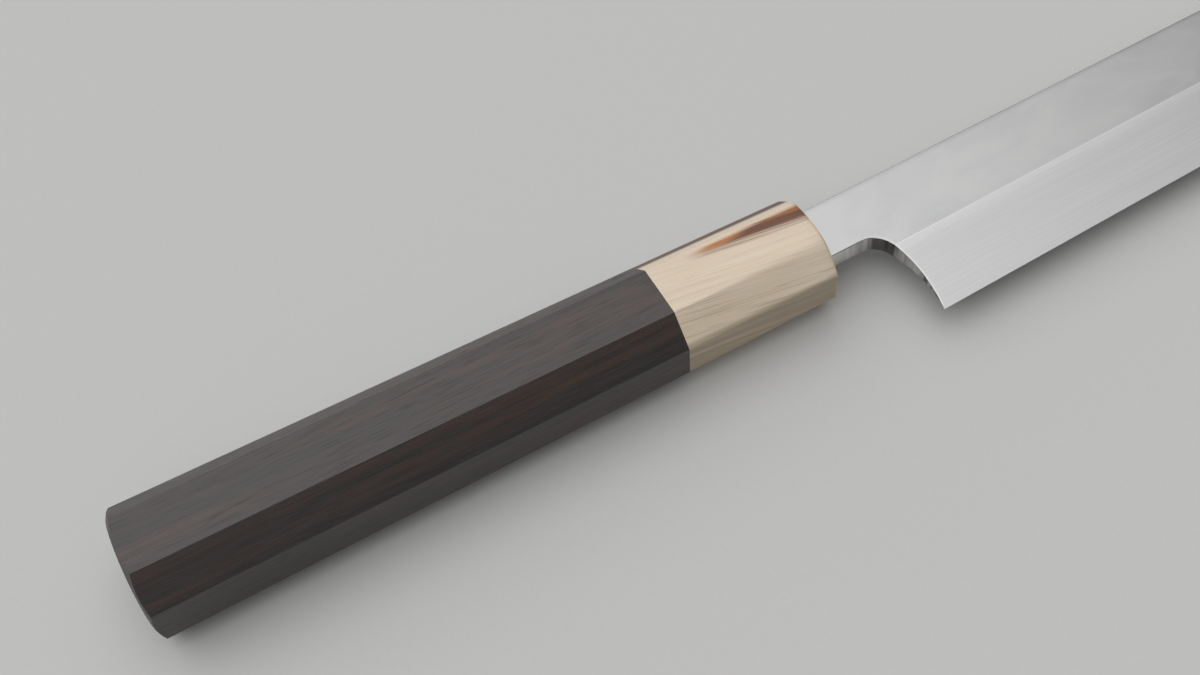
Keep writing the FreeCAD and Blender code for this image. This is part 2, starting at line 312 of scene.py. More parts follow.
# Each face takes the finish of its place, and the arrises of spine and choil are marked for easing
FLAT, BEVEL, BACK, EDGES = range(4)
LEAST_EASED_WALL = 0.3 * MM
EASED_FROM = NECK_SEAT + 1 * MM
EASED_SHARE = 0.45
BACK_ARRIS = 0.4
ARRIS_SEGMENTS = 3
SMOOTH_UNDER = math.radians(30)
to_blade = BLADE_AXES.inverted()
cells_of_edge = {}
for cell in blade.data.polygons:
    along, up, _ = to_blade @ cell.center
    if cell.index < sheet_cells:
        cell.material_index = FLAT if up > shinogi_at(along) or along < NECK_LENGTH else BEVEL
    else:
        cell.material_index = BACK if cell.index < 2 * sheet_cells else EDGES
    for key in cell.edge_keys:
        cells_of_edge.setdefault(key, []).append(cell)
easing = blade.data.attributes.new("bevel_weight_edge", "FLOAT", "EDGE")
for edge in blade.data.edges:
    finishes = {cell.material_index for cell in cells_of_edge[edge.key]}
    if EDGES not in finishes or len(finishes) == 1:
        continue
    ends = [to_blade @ blade.data.vertices[index].co for index in edge.vertices]
    along, up, _ = (ends[0] + ends[1]) / 2
    wall = face_z(along, up) - BACK_Z
    if wall > LEAST_EASED_WALL and along > EASED_FROM:
        weight = min(1.0, EASED_SHARE * wall / ARRIS_RADIUS)
        easing.data[edge.index].value = weight * (BACK_ARRIS if BACK in finishes else 1.0)


# The neck's end is drawn in at a shoulder and out into the tang, which follows the handle's axis
SHOULDER = 0.01 * MM


def draw_out(x, size):
    """Extrudes the selected end of the neck or tang to a rectangle of the handle's axes."""
    bpy.ops.object.mode_set(mode="EDIT")
    bpy.ops.mesh.extrude_region_move()
    bpy.ops.object.mode_set(mode="OBJECT")
    ends = [point for point in blade.data.vertices if point.select]
    placed = [to_blade @ point.co for point in ends]
    lows = [min(p[axis] for p in placed) for axis in range(3)]
    highs = [max(p[axis] for p in placed) for axis in range(3)]
    for point, p in zip(ends, placed):
        across = (p.y - lows[1]) / (highs[1] - lows[1]) - 0.5
        through = (p.z - lows[2]) / (highs[2] - lows[2]) - 0.5
        point.co = HANDLE_AXES @ Vector((x, size[0] * across, size[1] * through))


bpy.ops.object.mode_set(mode="EDIT")
bpy.ops.mesh.select_all(action="DESELECT")
bpy.ops.object.mode_set(mode="OBJECT")
for cell in blade.data.polygons:
    cell.select = (to_blade @ cell.center).x < NECK_SEAT + SHOULDER
draw_out(NECK_SEAT - SHOULDER, TANG_ROOT)
draw_out(-TANG_LENGTH, TANG_END)
close_mesh()
if sum(cell.normal.z for cell in blade.data.polygons if cell.material_index == FLAT) < 0:
    bpy.ops.object.mode_set(mode="EDIT")
    bpy.ops.mesh.flip_normals()
    bpy.ops.object.mode_set(mode="OBJECT")
rounding = blade.modifiers.new("arrises", "BEVEL")
rounding.limit_method = "WEIGHT"
rounding.width = ARRIS_RADIUS
rounding.segments = ARRIS_SEGMENTS
rounding.use_clamp_overlap = False
bpy.ops.object.modifier_apply(modifier="arrises")
bpy.ops.object.shade_smooth_by_angle(angle=SMOOTH_UNDER)

# Each point keeps its height over the ridge, in millimetres, for the painted shade and painted highlight on
# both sides of it
above_ridge = blade.data.attributes.new("above_ridge", "FLOAT", "POINT")
for point in blade.data.vertices:
    along, up, _ = to_blade @ point.co
    above_ridge.data[point.index].value = (up - shinogi_at(along)) / MM


def add_node(finish, kind, inputs, **settings):
    """A node of a finish, its inputs linked to sockets or set to plain values."""
    tree = finish.node_tree
    node = tree.nodes.new("ShaderNode" + kind)
    for name, value in settings.items():
        setattr(node, name, value)
    for name, value in inputs.items():
        if isinstance(value, bpy.types.NodeSocket):
            tree.links.new(value, node.inputs[name])
        else:
            node.inputs[name].default_value = value
    return node


def new_finish(name, inputs):
    """A material, with the plain values of its shader."""
    finish = bpy.data.materials.new(name)
    finish.use_nodes = True
    for socket, value in inputs.items():
        finish.node_tree.nodes["Principled BSDF"].inputs[socket].default_value = value
    return finish


def lead(finish, value, socket):
    """Leads a socket to the finish's shader."""
    finish.node_tree.links.new(value, finish.node_tree.nodes["Principled BSDF"].inputs[socket])


def place_in(finish, axes):
    """Places on the piece, in millimetres of the given axes."""
    inverse = axes.inverted()
    place = add_node(finish, "TexCoord", {}).outputs["Object"]
    return add_node(finish, "Mapping", {
        "Vector": place,
        "Location": inverse.translation / MM,
        "Rotation": inverse.to_euler(),
        "Scale": (1 / MM, 1 / MM, 1 / MM),
    }).outputs["Vector"]


def axes_of(finish, place):
    """The three measures of a place, one by one."""
    return add_node(finish, "SeparateXYZ", {"Vector": place}).outputs


def read_measure(finish, name):
    """A measure that the piece's mesh keeps under a name."""
    return add_node(finish, "Attribute", {}, attribute_name=name).outputs["Fac"]


def noise(finish, place, scale, detail=3.0, distortion=0.0):
    """Noise from 0 to 1, with its scale along each of the three axes."""
    stretched = add_node(finish, "Mapping", {"Vector": place, "Scale": scale}).outputs["Vector"]
    inputs = {"Vector": stretched, "Scale": 1.0, "Detail": detail, "Distortion": distortion}
    return add_node(finish, "TexNoise", inputs).outputs["Fac"]


def ramp(finish, factor, stops):
    """Colours along a factor, from pairs of a place and a colour or grey."""
    node = add_node(finish, "ValToRGB", {"Fac": factor})
    for index, (place, colour) in enumerate(stops):
        stop = node.color_ramp.elements[index] if index < 2 else node.color_ramp.elements.new(place)
        stop.position = place
        stop.color = (*colour, 1) if isinstance(colour, tuple) else (colour, colour, colour, 1)
    return node.outputs["Color"]


def sum_of(finish, first, second, share):
    """One value with a share of another added."""
    return add_node(finish, "Math", {0: second, 1: share, 2: first}, operation="MULTIPLY_ADD").outputs[0]


def roughen(finish, pattern, smooth, rough, low=0.3, high=0.7):
    """Roughness that follows a pattern, from smooth where it is low to rough where it is high."""
    lead(finish, ramp(finish, pattern, [(low, smooth), (high, rough)]), "Roughness")


def bump(finish, height, strength, depth):
    """Fine relief from a height, at most as deep as stated."""
    inputs = {"Height": height, "Strength": strength, "Distance": depth}
    lead(finish, add_node(finish, "Bump", inputs).outputs["Normal"], "Normal")


def between(finish, value, low, high):
    """0 below low and 1 above high, with a smooth rise between them."""
    inputs = {"Value": value, "From Min": low, "From Max": high}
    return add_node(finish, "MapRange", inputs, interpolation_type="SMOOTHSTEP").outputs["Result"]


def times(finish, first, second):
    """The product of two values."""
    return add_node(finish, "Math", {0: first, 1: second}, operation="MULTIPLY").outputs[0]


UNDER_SOCKET, OVER_SOCKET, MIXED_SOCKET = 6, 7, 2


def mixed(finish, factor, under, over, share=None):
    """One colour over another, as far as the factor says, or that share of it."""
    if share is not None:
        factor = times(finish, factor, share)
    node = add_node(finish, "Mix", {"Factor": factor}, data_type="RGBA")
    for socket, colour in ((UNDER_SOCKET, under), (OVER_SOCKET, over)):
        if isinstance(colour, bpy.types.NodeSocket):
            finish.node_tree.links.new(colour, node.inputs[socket])
        else:
            node.inputs[socket].default_value = (*colour, 1)
    return node.outputs[MIXED_SOCKET]


# The flat is polished, with the faint clouds of its heat treatment and hair-fine polishing lines. Close to
# the ridge it is darkened by a little painted shade.
FLAT_DARK = (0.505, 0.508, 0.512)
FLAT_LIGHT = (0.58, 0.578, 0.575)
HAIRLINE_SHARE = 0.12
# painted shade on the flat close to the ridge
PAINTED_RIDGE_SHADE = 0.1
PAINTED_RIDGE_SHADE_REACH = (3.0, 0.2)
polished = new_finish("steel_polished_flat", {"Metallic": 1.0})
place = place_in(polished, BLADE_AXES)
clouds = noise(polished, place, scale=(0.045, 0.08, 0.08), distortion=1.2)
hairlines = noise(polished, place, scale=(0.02, 7.0, 7.0), detail=4.0)
# painted shade: the flat is darker close to the ridge
painted_shade_near_ridge = between(polished, read_measure(polished, "above_ridge"), *PAINTED_RIDGE_SHADE_REACH)
tone = sum_of(polished, clouds, hairlines, HAIRLINE_SHARE)
tone = sum_of(polished, tone, painted_shade_near_ridge, -PAINTED_RIDGE_SHADE)
lead(polished, ramp(polished, tone, [(0.3, FLAT_DARK), (0.72, FLAT_LIGHT)]), "Base Color")
roughen(polished, clouds, smooth=0.2, rough=0.26)
bump(polished, hairlines, strength=0.04, depth=0.02 * MM)

# The bevel is left from the stones, with fine scratches along it. Close to the ridge it has a painted
# highlight.
BEVEL_DARK = (0.59, 0.592, 0.595)
BEVEL_LIGHT = (0.74, 0.739, 0.735)
PASSES_SHARE = 0.18
# painted highlight on the bevel close to the ridge
PAINTED_RIDGE_HIGHLIGHT = 0.28
PAINTED_RIDGE_HIGHLIGHT_REACH = (-3.5, -0.2)
stoned = new_finish("steel_stoned_bevel", {"Metallic": 1.0})
place = place_in(stoned, BLADE_AXES)
scratches = noise(stoned, place, scale=(0.03, 4.5, 4.5), detail=5.0)
passes = noise(stoned, place, scale=(0.02, 0.6, 0.6))
# painted highlight: the bevel is brighter close to the ridge
painted_highlight_under_ridge = between(stoned, read_measure(stoned, "above_ridge"), *PAINTED_RIDGE_HIGHLIGHT_REACH)
tone = sum_of(stoned, scratches, passes, PASSES_SHARE)
tone = sum_of(stoned, tone, painted_highlight_under_ridge, PAINTED_RIDGE_HIGHLIGHT)
lead(stoned, ramp(stoned, tone, [(0.3, BEVEL_DARK), (1.0, BEVEL_LIGHT)]), "Base Color")
roughen(stoned, scratches, smooth=0.3, rough=0.4)
bump(stoned, scratches, strength=0.09, depth=0.03 * MM)

# The back is buffed along the blade, in its hollow and on the rim round it
BACK_DARK = (0.53, 0.532, 0.535)
BACK_LIGHT = (0.60, 0.60, 0.598)
hollowed = new_finish("steel_hollow_back", {"Metallic": 1.0})
place = place_in(hollowed, BLADE_AXES)
buff_lines = noise(hollowed, place, scale=(0.05, 3.0, 3.0), detail=4.0)
lead(hollowed, ramp(hollowed, buff_lines, [(0.3, BACK_DARK), (0.7, BACK_LIGHT)]), "Base Color")
roughen(hollowed, buff_lines, smooth=0.22, rough=0.32)
bump(hollowed, buff_lines, strength=0.08, depth=0.03 * MM)

# Spine and choil are polished over the bands that the file left across them. The bands are deeper in the
# choil. The neck's underside is lightened by a painted reflection, and from the throat to the heel there
# are patches of painted dark reflection.
SPINE_DARK = (0.42, 0.412, 0.405)
SPINE_LIGHT = (0.60, 0.595, 0.585)
# painted reflection: the neck's underside is lighter than the spine
PAINTED_NECK_REFLECTION_DARK = (0.64, 0.62, 0.61)
PAINTED_NECK_REFLECTION_LIGHT = (0.86, 0.835, 0.82)
# painted reflection: dark patches from the throat to the heel
PAINTED_CHOIL_REFLECTION_DARK = (0.13, 0.127, 0.124)
PAINTED_CHOIL_REFLECTION_LIGHT = (0.64, 0.632, 0.62)
CHOIL_RISE = (0.0, -5.0)
NECK_FADE = (7.5, 10.5)
SPINE_BANDS = 0.1
CHOIL_BANDS = 2.0
buffed = new_finish("steel_buffed_edges", {"Metallic": 1.0})
place = place_in(buffed, BLADE_AXES)
along_blade, up_blade, _ = axes_of(buffed, place)
in_choil = between(buffed, up_blade, *CHOIL_RISE)
# where the painted dark reflection lies, from the throat on
painted_reflection_past_neck = times(buffed, in_choil, between(buffed, along_blade, *NECK_FADE))
file_bands = noise(buffed, place, scale=(0.55, 0.55, 0.02), detail=4.0)
dark_reflection_patches = noise(buffed, place, scale=(0.34, 0.34, 0.03))
spine_colour = ramp(buffed, file_bands, [(0.35, SPINE_DARK), (0.65, SPINE_LIGHT)])
painted_neck_reflection = ramp(buffed, file_bands, [(0.35, PAINTED_NECK_REFLECTION_DARK), (0.65, PAINTED_NECK_REFLECTION_LIGHT)])
painted_choil_reflection = ramp(buffed, dark_reflection_patches, [(0.44, PAINTED_CHOIL_REFLECTION_DARK), (0.58, PAINTED_CHOIL_REFLECTION_LIGHT)])
edge_colour_and_reflection = mixed(buffed, in_choil, spine_colour, painted_neck_reflection)
lead(buffed, mixed(buffed, painted_reflection_past_neck, edge_colour_and_reflection, painted_choil_reflection), "Base Color")
roughen(buffed, file_bands, smooth=0.06, rough=0.14)
band_depth = sum_of(buffed, SPINE_BANDS, in_choil, CHOIL_BANDS - SPINE_BANDS)
bump(buffed, times(buffed, file_bands, band_depth), strength=1.0, depth=0.3 * MM)

for finish in (polished, stoned, hollowed, buffed):
    blade.data.materials.append(finish)
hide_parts("blade")
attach(blade, "root")

# Dowel
# A soft wooden peg, split along its grain and turned round, glued into the bores of ferrule and handle.
# It is slotted for the tang and hidden in the finished knife.
DOWEL_DARK = (0.48, 0.33, 0.19)
DOWEL_LIGHT = (0.70, 0.55, 0.36)
YEARS_SHARE = 0.6
dowel_wood = new_finish("dowel_softwood", {"Roughness": 0.65})
place = place_in(dowel_wood, HANDLE_AXES)
fibres = noise(dowel_wood, place, scale=(0.06, 3.0, 3.0), detail=5.0)
years = noise(dowel_wood, place, scale=(0.01, 0.5, 0.5), distortion=0.4)
tone = sum_of(dowel_wood, fibres, years, YEARS_SHARE)
lead(dowel_wood, ramp(dowel_wood, tone, [(0.5, DOWEL_DARK), (1.0, DOWEL_LIGHT)]), "Base Color")
bump(dowel_wood, fibres, strength=0.3, depth=0.1 * MM)
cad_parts["dowel"].material_slots[0].material = dowel_wood

# Tang bedding
# Dark resin, melted into the slot of the dowel. The warm tang is pressed into it, and it sets hard round
# the steel, holds it in the handle and seals the slot in the ferrule's mouth.
RESIN_DARK = (0.05, 0.028, 0.012)
RESIN_LIGHT = (0.13, 0.075, 0.03)
resin = new_finish("bedding_resin", {"Coat Weight": 0.3})
place = place_in(resin, HANDLE_AXES)
swirls = noise(resin, place, scale=(0.5, 0.5, 0.5), detail=4.0, distortion=0.8)
lead(resin, ramp(resin, swirls, [(0.3, RESIN_DARK), (0.7, RESIN_LIGHT)]), "Base Color")
roughen(resin, swirls, smooth=0.2, rough=0.35)
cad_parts["tang_bedding"].material_slots[0].material = resin

# Ferrule
# A collar of blond horn, bored from behind for the dowel and slotted in front for the neck. It is glued
# on, shaped with the wood to one octagon and buffed, which leaves its corners soft towards the mouth.
FERRULE_LENGTH = 35.3 * MM
BUTT_HEIGHT = 25.5 * MM
MOUTH_HEIGHT = 22.6 * MM
BUTT_CHAMFER = 6.4 * MM
MOUTH_CHAMFER = 5.6 * MM
BUTT_SIZE = Vector((BUTT_HEIGHT, BUTT_THICKNESS, BUTT_CHAMFER))
MOUTH_SIZE = Vector((MOUTH_HEIGHT, MOUTH_THICKNESS, MOUTH_CHAMFER))
EASING_INSET = 0.5 * MM
MOUTH_EASING = math.radians(31)
BEDDING = 0.35 * MM
MOUTH_WALL = 8 * MM
BORE_RADIUS = 7.1 * MM
CORNERS = 8
CORNER_TURN = math.radians(360 / CORNERS)
CORNER_STEPS = 6
FLAT_STEPS = 6
RING_POINTS = CORNERS * (CORNER_STEPS + FLAT_STEPS)
TAPER_STEP = 1 * MM
MOUTH_RIM_STEPS = 5
HORN_STATIONS = 14
HORN_CORNER = 0.5 * MM
HORN_SOFTENING = (1.5 * MM, 2.0 * MM, 5.0 * MM, 1.6 * MM, 1.6 * MM, 2.0 * MM, 2.0 * MM, 1.5 * MM)


def octagon_ring(x, corner_radii):
    """The octagon at x of the handle's axes, as points with an arc at each corner and some on each flat."""
    height, thickness, leg = BUTT_SIZE.lerp(MOUTH_SIZE, 1 + x / HANDLE_LENGTH)
    side, face = height / 2, thickness / 2
    half = [(side, face - leg), (side - leg, face), (leg - side, face), (-side, face - leg)]
    corners = [Vector(corner) for corner in half + [(-y, -z) for y, z in half]]
    arcs = []
    for index, corner in enumerate(corners):
        inwards = ((corners[index - 1] - corner).normalized()
                   + (corners[(index + 1) % len(corners)] - corner).normalized()).normalized()
        radius = corner_radii[index]
        centre = corner + inwards * radius / math.cos(CORNER_TURN / 2)
        arc = []
        for step in range(CORNER_STEPS + 1):
            turn = CORNER_TURN * (step / CORNER_STEPS - 0.5)
            arc.append(centre + Matrix.Rotation(turn, 2) @ -inwards * radius)
        arcs.append(arc)
    ring = []
    for arc, next_arc in zip(arcs, arcs[1:] + arcs[:1]):
        ring += arc + [arc[-1].lerp(next_arc[0], step / FLAT_STEPS) for step in range(1, FLAT_STEPS)]
    return [Vector((x, point.x, point.y)) for point in ring]


def eased_rings(x_end, size, outward, slope, corner_radii, steps):
    """Rings over the eased rim of an end, from the flats in to the end face: more steps, rounder."""
    land = size[1] / 2 - EASING_INSET
    outline = octagon_ring(x_end, corner_radii)
    further_in = octagon_ring(x_end - outward * TAPER_STEP, corner_radii)
    rings = []
    for step in range(steps + 1):
        turn = math.pi / 2 * step / steps
        ring = []
        for point, inner in zip(outline, further_in):
            oval_radius = math.hypot(point.y * size[1] / size[0], point.z)
            depth = (oval_radius - land) * math.tan(slope)
            start = point.lerp(inner, depth / TAPER_STEP)
            end = point * (land / oval_radius)
            x = start.x + (x_end - start.x) * math.sin(turn)
            ring.append(Vector((x, *start.yz.lerp(end.yz, 1 - math.cos(turn)))))
        rings.append(ring)
    return rings


def round_ring(x, radius, ring):
    """A circle with its points in the directions of another ring's."""
    return [Vector((x, *(point.yz.normalized() * radius))) for point in ring]


def slot_ring(x, low, high, half_thickness, ring):
    """A rectangle about the handle's axis with its points in the directions of another ring's."""
    middle, half = (low + high) / 2, (high - low) / 2
    points = []
    for point in ring:
        reach = max(abs(point.y) / half, abs(point.z) / half_thickness)
        points.append(Vector((x, middle + point.y / reach, point.z / reach)))
    for across, through in ((1, 1), (-1, 1), (-1, -1), (1, -1)):
        corner = Vector((x, middle + half * across, half_thickness * through))
        nearest = min(range(len(points)), key=lambda index: (points[index] - corner).length)
        points[nearest] = corner
    return points


def ringed_piece(name, rings):
    """A piece skinned over rings of the handle's axes, which keeps the way round it in millimetres."""
    piece = placed_grid(len(rings) - 1, RING_POINTS,
                        lambda column, row: HANDLE_AXES @ rings[column][row % RING_POINTS])
    piece.name = name
    girths = []
    for ring in rings:
        lengths = [(point - last).length / MM for last, point in zip(ring, ring[1:] + ring[:1])]
        girths.append([sum(lengths[:row]) for row in range(RING_POINTS + 1)])
    girth = piece.data.attributes.new("girth", "FLOAT", "CORNER")
    for corner, place in zip(girth.data, piece.data.uv_layers.active.data):
        column = round(place.uv.x * (len(rings) - 1))
        corner.value = girths[column][round((1 - place.uv.y) * RING_POINTS)]
    close_mesh()
    bpy.ops.object.shade_smooth_by_angle(angle=SMOOTH_UNDER)
    return piece


horn_rings = []
for station in range(HORN_STATIONS):
    share = station / HORN_STATIONS
    radii = [HORN_CORNER + (softening - HORN_CORNER) * share ** 2 for softening in HORN_SOFTENING]
    horn_rings.append(octagon_ring(-FERRULE_LENGTH * (1 - share), radii))
horn_rings += eased_rings(0, MOUTH_SIZE, 1, MOUTH_EASING, HORN_SOFTENING, MOUTH_RIM_STEPS)
mouth_ring = horn_rings[-1]
slot_low, slot_high = NECK_LOW - BEDDING, SPINE_UP + BEDDING
slot_half = NECK_THICKNESS / 2 + BEDDING
for depth in (0, -NECK_SEAT + BEDDING):
    horn_rings.append(slot_ring(-depth, slot_low, slot_high, slot_half, mouth_ring))
for depth in (-NECK_SEAT + BEDDING, MOUTH_WALL):
    tang_half = TANG_ROOT[0] / 2 + BEDDING
    horn_rings.append(slot_ring(-depth, -tang_half, tang_half, TANG_ROOT[1] / 2 + BEDDING, mouth_ring))
for x in (-MOUTH_WALL, -FERRULE_LENGTH):
    horn_rings.append(round_ring(x, BORE_RADIUS, mouth_ring))
horn_rings.append(horn_rings[0])
ferrule = ringed_piece("ferrule_horn", horn_rings)

# Blond horn: cream and greyer towards the edge, with painted shade on the facet there and painted light
# towards the front of the grey chamfer, fine fibres that run a little askew round the collar, a brown and
# orange streak along the upper flat, and a brown spine side
CREAM = (0.70, 0.585, 0.455)
GREY_HORN = (0.69, 0.58, 0.435)
# painted shade: a darker copy of the horn for the edge-side facet
PAINTED_SHADE_HORN = (0.40, 0.325, 0.235)
# pale fibres, and also the painted light towards the front of the grey chamfer
PALE_FIBRE_AND_LIGHT = (0.78, 0.68, 0.55)
DARK_FIBRE = (0.33, 0.255, 0.17)
RIM_HORN = (0.60, 0.45, 0.23)
ORANGE_HORN = (0.45, 0.165, 0.04)
BROWN_HORN = (0.13, 0.045, 0.02)
SPINE_SIDE_DARK = (0.08, 0.037, 0.022)
FIBRE_SKEW = 0.12
GREY_FADE = (1.5, -6.5)
GREY_WANDER = 8.0
# painted light towards the front of the grey chamfer
PAINTED_LIGHT_FRONT = (-16.0, -3.0)
PAINTED_LIGHT_FRONT_SHARE = 0.45
# painted shade on the edge-side facet
PAINTED_SHADE_EDGE_SIDE = (-10.5, -11.35)
PALE_BANDS = (0.5, 0.72)
PALE_BANDS_SHARE = 0.3
DARK_BANDS = (0.48, 0.3)
DARK_BANDS_SHARE = 0.08
HAIR_LINES = [(0.44, 0.0), (0.56, 0.0), (0.5, 1.0)]
HAIR_BREAKS = (0.4, 0.6)
HAIR_SHARE = 0.24
GREY_HAIR_SHARE = 0.32
RIM_FADE = (-1.0, -0.2)
RIM_SHARE = 0.6
horn = new_finish("horn_blond", {"Subsurface Weight": 0.08, "Subsurface Scale": 2 * MM,
                                 "Subsurface Radius": (1.0, 0.7, 0.45)})
place = place_in(horn, HANDLE_AXES)
x, y, z = axes_of(horn, place)
strand = sum_of(horn, read_measure(horn, "girth"), x, -FIBRE_SKEW)
strands = add_node(horn, "CombineXYZ", {"X": x, "Y": strand}).outputs["Vector"]
cloud = noise(horn, strands, scale=(0.05, 0.25, 1), distortion=0.4)
bands = noise(horn, strands, scale=(0.02, 0.9, 1))
fibres = noise(horn, strands, scale=(0.045, 3.4, 1), detail=5.0)
hairs = noise(horn, strands, scale=(0.035, 2.0, 1), detail=1.0)
greyer = between(horn, sum_of(horn, y, cloud, GREY_WANDER), *GREY_FADE)
body = mixed(horn, greyer, CREAM, GREY_HORN)
# painted light towards the front of the grey chamfer
painted_light_on_front = times(horn, between(horn, x, *PAINTED_LIGHT_FRONT), greyer)
body = mixed(horn, painted_light_on_front, body, PALE_FIBRE_AND_LIGHT, share=PAINTED_LIGHT_FRONT_SHARE)
# painted shade on the edge-side facet
body = mixed(horn, between(horn, y, *PAINTED_SHADE_EDGE_SIDE), body, PAINTED_SHADE_HORN)
body = mixed(horn, between(horn, bands, *PALE_BANDS), body, PALE_FIBRE_AND_LIGHT, share=PALE_BANDS_SHARE)
body = mixed(horn, between(horn, bands, *DARK_BANDS), body, DARK_FIBRE, share=DARK_BANDS_SHARE)
hairs = times(horn, ramp(horn, hairs, HAIR_LINES), between(horn, fibres, *HAIR_BREAKS))
hair_depth = sum_of(horn, HAIR_SHARE, greyer, GREY_HAIR_SHARE)
body = mixed(horn, times(horn, hairs, hair_depth), body, DARK_FIBRE)
body = mixed(horn, between(horn, x, *RIM_FADE), body, RIM_HORN, share=RIM_SHARE)

# The streak is brown towards the edge and orange towards the spine, and its borders wander with the fibres
STREAK_SKEW = math.radians(6.2)
STREAK_FRONT = 1.15
STREAK_TOP = 5.4
STREAK_BROWN = 2.8
STREAK_TAIL = (-28.0, -21.0)
STREAK_LOWER_FADE = (-1.5, 1.2)
STREAK_LOWER_WANDER = 2.2
STREAK_UPPER_FADE = (-0.2, 0.9)
STREAK_UPPER_WANDER = 1.4
STREAK_SHARE = 0.97
BROWN_TAIL = (-21.0, -9.0)
BROWN_FADE = (-0.8, 0.9)
BROWN_STRANDS = (0.5, 0.7)
BROWN_STRANDS_SHARE = 0.55
ORANGE_STRANDS = (0.48, 0.36)
ORANGE_STRANDS_SHARE = 0.3
wander = sum_of(horn, sum_of(horn, -1.0, bands, 1.0), fibres, 1.0)
skewed = add_node(horn, "Mapping", {"Vector": place, "Rotation": (0, 0, STREAK_SKEW)}).outputs["Vector"]
_, skewed_y, _ = axes_of(horn, skewed)
into_streak = sum_of(horn, sum_of(horn, skewed_y, wander, STREAK_LOWER_WANDER), -STREAK_FRONT, 1.0)
below_top = sum_of(horn, sum_of(horn, STREAK_TOP, y, -1.0), wander, STREAK_UPPER_WANDER)
streak = between(horn, into_streak, *STREAK_LOWER_FADE)
streak = times(horn, streak, between(horn, below_top, *STREAK_UPPER_FADE))
streak = times(horn, streak, between(horn, x, *STREAK_TAIL))
brown_width = times(horn, between(horn, x, *BROWN_TAIL), STREAK_BROWN)
past_brown = sum_of(horn, into_streak, brown_width, -1.0)
streak_colour = mixed(horn, between(horn, past_brown, *BROWN_FADE), BROWN_HORN, ORANGE_HORN)
brown_strands = between(horn, fibres, *BROWN_STRANDS)
streak_colour = mixed(horn, brown_strands, streak_colour, BROWN_HORN, share=BROWN_STRANDS_SHARE)
orange_strands = between(horn, fibres, *ORANGE_STRANDS)
streak_colour = mixed(horn, orange_strands, streak_colour, ORANGE_HORN, share=ORANGE_STRANDS_SHARE)
body = mixed(horn, streak, body, streak_colour, share=STREAK_SHARE)

# The brown spine side ends with wandering borders, on the chamfer above it and low on the side itself
SPINE_SIDE_SKEW = 0.03
SPINE_SIDE_FADE = (7.5, 9.0)
SPINE_SIDE_WANDER = 0.4
SPINE_SIDE_LOW_FADE = (-4.5, -0.5)
SPINE_SIDE_LOW_WANDER = 4.0
SIDE_STRANDS = (0.5, 0.64)
SIDE_STRANDS_SHARE = 0.25
spine_side = sum_of(horn, sum_of(horn, y, x, SPINE_SIDE_SKEW), wander, SPINE_SIDE_WANDER)
spine_side = between(horn, spine_side, *SPINE_SIDE_FADE)
above_low = between(horn, sum_of(horn, z, wander, SPINE_SIDE_LOW_WANDER), *SPINE_SIDE_LOW_FADE)
side_strands = between(horn, fibres, *SIDE_STRANDS)
side_colour = mixed(horn, side_strands, SPINE_SIDE_DARK, ORANGE_HORN, share=SIDE_STRANDS_SHARE)
body = mixed(horn, times(horn, spine_side, above_low), body, side_colour)
lead(horn, body, "Base Color")
roughen(horn, fibres, smooth=0.34, rough=0.48, high=0.8)
bump(horn, fibres, strength=0.1, depth=0.05 * MM)
ferrule.data.materials.append(horn)
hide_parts("ferrule")
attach(ferrule, "root")

# Handle
# The grip: one length of ebony, bored from the front for the dowel and planed to a tapering octagon with
# crisp corners. Only the rim of the butt is eased, and the wood is rubbed to a dull sheen.
BUTT_EASING = math.radians(30)
BORE_END = 105 * MM
WOOD_CORNER = 0.3 * MM
WOOD_STATIONS = 20
BUTT_RIM_STEPS = 1
BUTT_FACE_STEPS = 4
wood_corners = [WOOD_CORNER] * CORNERS
wood_rings = [round_ring(x, radius, octagon_ring(-FERRULE_LENGTH, wood_corners))
              for x, radius in ((-BORE_END, 0), (-BORE_END, BORE_RADIUS), (-FERRULE_LENGTH, BORE_RADIUS))]
for station in range(WOOD_STATIONS):
    share = station / WOOD_STATIONS
    x = -FERRULE_LENGTH - (HANDLE_LENGTH - FERRULE_LENGTH) * share
    wood_rings.append(octagon_ring(x, wood_corners))
wood_rings += eased_rings(-HANDLE_LENGTH, BUTT_SIZE, -1, BUTT_EASING, wood_corners, BUTT_RIM_STEPS)
butt_ring = wood_rings[-1]
for step in range(1, BUTT_FACE_STEPS + 1):
    kept = 1 - step / BUTT_FACE_STEPS
    wood_rings.append([Vector((-HANDLE_LENGTH, point.y * kept, point.z * kept)) for point in butt_ring])
handle = ringed_piece("handle_ebony", wood_rings)

# Ebony: almost black, with reddish-brown streaks along the grain that grow towards the ferrule, and with
# fine open pores that are duller than the rubbed wood round them
EBONY_BLACK = (0.009, 0.007, 0.0065)
EBONY_BROWN = (0.021, 0.0115, 0.0085)
EBONY_RED = (0.044, 0.018, 0.0105)
GRAIN_SHARE = 0.45
REDDER_FRONT = (-125.0, -45.0)
REDDER_SHARE = 0.07
PORE_FADE = (0.5, 0.68)
PORE_SHARE = 0.8
PORE_DULLNESS = 0.14
PORE_DEPTH = 0.8
ebony = new_finish("ebony_rubbed", {"Specular IOR Level": 1.0})
place = place_in(ebony, HANDLE_AXES)
x, _, _ = axes_of(ebony, place)
streaks = noise(ebony, place, scale=(0.012, 0.5, 0.5), detail=4.0, distortion=0.2)
grain = noise(ebony, place, scale=(0.09, 2.6, 2.6), detail=5.0)
pores = noise(ebony, place, scale=(0.14, 3.3, 3.3), detail=2.0)
pores = between(ebony, pores, *PORE_FADE)
figure = sum_of(ebony, streaks, grain, GRAIN_SHARE)
figure = sum_of(ebony, figure, between(ebony, x, *REDDER_FRONT), REDDER_SHARE)
colour = ramp(ebony, figure, [(0.56, EBONY_BLACK), (0.76, EBONY_BROWN), (0.98, EBONY_RED)])
